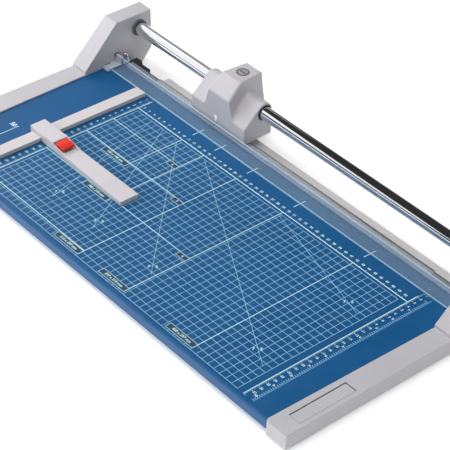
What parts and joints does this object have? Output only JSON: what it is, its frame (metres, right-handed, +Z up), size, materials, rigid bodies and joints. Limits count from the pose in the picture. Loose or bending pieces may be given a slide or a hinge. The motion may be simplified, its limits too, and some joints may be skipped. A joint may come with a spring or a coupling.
{
  "type": "rotary paper trimmer",
  "caption": "Rotary paper trimmer: printed blue table, chrome guide tube, sliding cutting head with a circular blade, clear clamp strip, paper stop and sliding back gauge.",
  "frame": {"origin": "on the surface the trimmer stands on, under the middle of its outline", "axes": "+X along the cut and the guide tube, from the paper-stop end to the other end; +Y from the front edge towards the guide tube; +Z up"},
  "size_m": [0.706, 0.365, 0.0909],
  "materials": {
    "grey_plastic": "fine-grained moulded plastic, light cool grey",
    "head_plastic": "fine-grained moulded plastic, light cool grey",
    "blue_paint": "smooth satin blue paint with printed scales",
    "chrome": "polished chrome plate",
    "bright_steel": "ground steel",
    "galvanised_steel": "zinc-plated steel",
    "aluminium": "drawn, anodised aluminium",
    "black_plastic": "satin black plastic",
    "dark_rubber": "dull dark rubber",
    "clear_plastic": "clear extruded acrylic",
    "frosted_plastic": "frosted translucent plastic",
    "bar_enamel": "warm light grey enamel on steel",
    "gauge_plastic": "warm light grey moulded plastic",
    "red_plastic": "glossy red plastic",
    "white_plastic": "white plastic"
  },
  "bodies": {
    "base": {"left_end_frame": "grey_plastic", "right_end_frame": "grey_plastic", "label_plate": "grey_plastic", "foot_left_front": "dark_rubber", "foot_left_rear": "dark_rubber", "foot_right_front": "dark_rubber", "foot_right_rear": "dark_rubber", "table_board": "blue_paint", "table_stiffener": "galvanised_steel", "knife_rail": "aluminium", "lower_knife": "bright_steel", "knife_screw_1": "galvanised_steel", "knife_screw_2": "galvanised_steel", "knife_screw_3": "galvanised_steel", "knife_end_block_left": "black_plastic", "knife_end_block_right": "black_plastic", "guide_tube": "chrome", "tube_bumper_left": "dark_rubber", "tube_bumper_right": "dark_rubber", "tube_plug_left": "galvanised_steel", "tube_plug_right": "galvanised_steel", "tube_screw_left": "galvanised_steel", "tube_screw_right": "galvanised_steel", "rail_screw_left": "galvanised_steel", "rail_screw_right": "galvanised_steel", "strip_post_left": "bright_steel", "strip_post_right": "bright_steel", "strip_spring_left": "bright_steel", "strip_spring_right": "bright_steel", "paper_stop_bar": "bar_enamel", "stop_bar_screw_1": "galvanised_steel", "stop_bar_screw_2": "galvanised_steel"},
    "strip": {"clamp_strip": "clear_plastic", "strip_clip_left": "frosted_plastic", "strip_clip_right": "frosted_plastic"},
    "head": {"head_housing": "head_plastic", "head_badge": "head_plastic", "cut_pointer": "white_plastic", "blade_carrier": "galvanised_steel", "carrier_screw_1": "galvanised_steel", "carrier_screw_2": "galvanised_steel", "tube_bush_left": "black_plastic", "tube_bush_right": "black_plastic", "blade_axle": "galvanised_steel", "axle_nut": "galvanised_steel", "blade_spring": "bright_steel", "roller_pin_left": "galvanised_steel", "roller_pin_right": "galvanised_steel"},
    "blade": {"circular_blade": "bright_steel", "blade_hub": "black_plastic"},
    "roller_left": {"press_roller_left": "dark_rubber"},
    "roller_right": {"press_roller_right": "dark_rubber"},
    "gauge": {"back_gauge_arm": "gauge_plastic", "lever_pin": "galvanised_steel", "clamp_shoe": "dark_rubber"},
    "lever": {"clamp_lever": "red_plastic"}
  },
  "joints": [
    {"name": "head_slide", "type": "slide", "parent": "base", "child": "head", "axis": [1, 0, 0], "range_m": [-0.137, 0.384]},
    {"name": "blade_spin", "type": "hinge", "parent": "head", "child": "blade", "pos_m": [-0.1235, 0.1378, 0.04], "axis": [0, 1, 0], "range_deg": [-360, 1000]},
    {"name": "left_roller_spin", "type": "hinge", "parent": "head", "child": "roller_left", "pos_m": [-0.1565, 0.1275, 0.02825], "axis": [0, 1, 0], "range_deg": [-1600, 4450]},
    {"name": "right_roller_spin", "type": "hinge", "parent": "head", "child": "roller_right", "pos_m": [-0.0905, 0.1275, 0.02825], "axis": [0, 1, 0], "range_deg": [-1600, 4450]},
    {"name": "strip_press", "type": "slide", "parent": "base", "child": "strip", "axis": [0, 0, 1], "range_m": [-0.0011, 0], "stiffness_N_per_m": 800, "springref_m": 0.002, "deforming": ["strip_spring_left", "strip_spring_right"]},
    {"name": "gauge_slide", "type": "slide", "parent": "base", "child": "gauge", "axis": [0, 1, 0], "range_m": [-0.1, 0.14]},
    {"name": "lever_turn", "type": "hinge", "parent": "gauge", "child": "lever", "pos_m": [-0.2075, -0.05925, 0.0293], "axis": [0, -1, 0], "range_deg": [0, 60]}
  ],
  "couplings": [
    {"joint": "blade_spin", "follows": "head_slide", "rad_per_m": 44.444},
    {"joint": "left_roller_spin", "follows": "head_slide", "rad_per_m": 200},
    {"joint": "right_roller_spin", "follows": "head_slide", "rad_per_m": 200}
  ]
}
